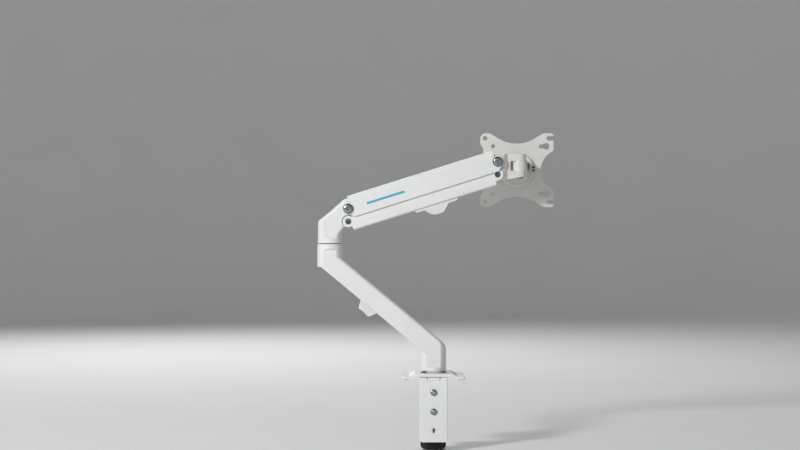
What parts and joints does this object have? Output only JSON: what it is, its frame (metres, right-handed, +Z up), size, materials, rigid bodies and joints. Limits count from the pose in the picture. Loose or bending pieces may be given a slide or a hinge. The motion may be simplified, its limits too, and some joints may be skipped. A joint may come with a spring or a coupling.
{
  "type": "monitor arm",
  "caption": "Spring-assisted monitor arm: desk clamp and post, swivelling lower arm, lifting parallelogram arm, and a head that pans, tilts and turns its monitor plate.",
  "frame": {"origin": "on the post's axis, on the underside of the clamp's centre pad, which is the desk's surface", "axes": "+Z up along the post; +Y from the desk's edge over the desk, the way the monitor plate faces; +X from the elbow to the post"},
  "size_m": [0.3686, 0.1191, 0.4876],
  "materials": {
    "white_coat": "fine satin powder coat, slightly cool white",
    "white_plastic": "satin moulded",
    "warm_grey_coat": "satin powder coat, warm light grey",
    "chrome_screw": "bright zinc and chrome",
    "chrome_rod": "ground and plated",
    "dark_steel": "black oxide",
    "plain_steel": "zinc plated",
    "black_plastic": "fine grained",
    "nylon": "natural nylon",
    "black_coat": "smooth black enamel",
    "pad_rubber": "matt"
  },
  "bodies": {
    "base": {"desk_pad_left": "pad_rubber", "desk_pad_right": "pad_rubber", "desk_pad_centre": "pad_rubber", "base_plate": "white_coat", "clamp_back_bracket": "white_coat", "clamp_lower_jaw": "white_coat", "clamp_bracket_screw_upper": "chrome_screw", "clamp_bracket_screw_lower": "chrome_screw", "clamp_weld_nut": "plain_steel", "base_post": "white_coat", "flange_screw_1": "dark_steel", "flange_screw_2": "dark_steel", "flange_screw_3": "dark_steel", "flange_screw_4": "dark_steel"},
    "clamp_pad": {"clamp_pressure_disc": "plain_steel", "clamp_pressure_pad": "pad_rubber"},
    "clamp_screw": {"clamp_spindle": "plain_steel", "clamp_knob": "black_plastic"},
    "lower_arm": {"post_bush": "nylon", "post_friction_screw": "dark_steel", "lower_arm": "white_coat", "lower_arm_cable_clip": "white_plastic", "elbow_bush": "nylon", "elbow_friction_screw": "dark_steel", "elbow_washer": "black_plastic"},
    "elbow": {"elbow_bracket": "white_coat", "elbow_spigot": "plain_steel", "tension_slider": "plain_steel", "tension_screw": "dark_steel", "spring_anchor_pin": "plain_steel", "elbow_upper_axle": "chrome_screw", "elbow_upper_nut": "chrome_screw", "elbow_pin_front": "dark_steel", "elbow_pin_back": "dark_steel"},
    "upper_arm": {"upper_arm_cover": "white_coat", "elbow_bush_front": "black_plastic", "elbow_bush_back": "black_plastic", "head_bush_front": "black_plastic", "head_bush_back": "black_plastic", "gas_spring_cylinder": "black_coat"},
    "link": {"lower_link": "white_coat", "link_cable_clip": "white_plastic"},
    "spring_rod": {"gas_spring_rod": "chrome_rod"},
    "head": {"head_bracket": "warm_grey_coat", "head_upper_axle": "chrome_screw", "head_upper_nut": "chrome_screw", "head_pin_front": "dark_steel", "head_pin_back": "dark_steel", "swivel_pin": "dark_steel"},
    "knuckle": {"swivel_knuckle": "warm_grey_coat"},
    "tilt_head": {"tilt_yoke": "warm_grey_coat", "tilt_bolt": "dark_steel", "tilt_nut": "dark_steel", "rotation_disc": "warm_grey_coat", "rotation_washer": "black_plastic", "rotation_stop": "warm_grey_coat", "centre_screw": "dark_steel"},
    "plate": {"vesa_plate": "warm_grey_coat"}
  },
  "joints": [
    {"name": "base_swivel", "type": "hinge", "parent": "base", "child": "lower_arm", "pos_m": [0, 0, 0.03], "axis": [0, 0, 1], "range_deg": [-180, 180]},
    {"name": "elbow_swivel", "type": "hinge", "parent": "lower_arm", "child": "elbow", "pos_m": [-0.1586, 0, 0.2058], "axis": [0, 0, 1], "range_deg": [-180, 180]},
    {"name": "arm_lift", "type": "hinge", "parent": "elbow", "child": "upper_arm", "pos_m": [-0.13, 0, 0.26], "axis": [0, -1, 0], "range_deg": [-50, 25]},
    {"name": "link_swing", "type": "hinge", "parent": "elbow", "child": "link", "pos_m": [-0.13, 0, 0.2404], "axis": [0, -1, 0], "range_deg": [-50, 25]},
    {"name": "spring_rod_swing", "type": "hinge", "parent": "elbow", "child": "spring_rod", "pos_m": [-0.12864, 0, 0.24707], "axis": [0, -1, 0], "range_deg": [-50, 25]},
    {"name": "head_level", "type": "hinge", "parent": "upper_arm", "child": "head", "pos_m": [0.09838, 0, 0.33179], "axis": [0, -1, 0], "range_deg": [-25, 50]},
    {"name": "head_pan", "type": "hinge", "parent": "head", "child": "knuckle", "pos_m": [0.1329, 0, 0.3254], "axis": [0, 0, 1], "range_deg": [-180, 17]},
    {"name": "head_tilt", "type": "hinge", "parent": "knuckle", "child": "tilt_head", "pos_m": [0.1329, 0.035, 0.3254], "axis": [1, 0, 0], "range_deg": [-45, 45]},
    {"name": "plate_turn", "type": "hinge", "parent": "tilt_head", "child": "plate", "pos_m": [0.1329, 0.0683, 0.3213], "axis": [0, 1, 0], "range_deg": [-90, 90]},
    {"name": "clamp_pad_travel", "type": "slide", "parent": "base", "child": "clamp_pad", "axis": [0, 0, 1], "range_m": [-0.003, 0.016]},
    {"name": "clamp_knob_turn", "type": "hinge", "parent": "clamp_pad", "child": "clamp_screw", "pos_m": [0, -0.01, -0.08], "axis": [0, 0, 1], "range_deg": [-756, 3896]}
  ],
  "couplings": [
    {"joint": "link_swing", "follows": "arm_lift", "ratio": 1},
    {"joint": "spring_rod_swing", "follows": "arm_lift", "ratio": 1},
    {"joint": "head_level", "follows": "arm_lift", "ratio": -1},
    {"joint": "clamp_knob_turn", "follows": "clamp_pad_travel", "rad_per_m": 4188.8}
  ]
}
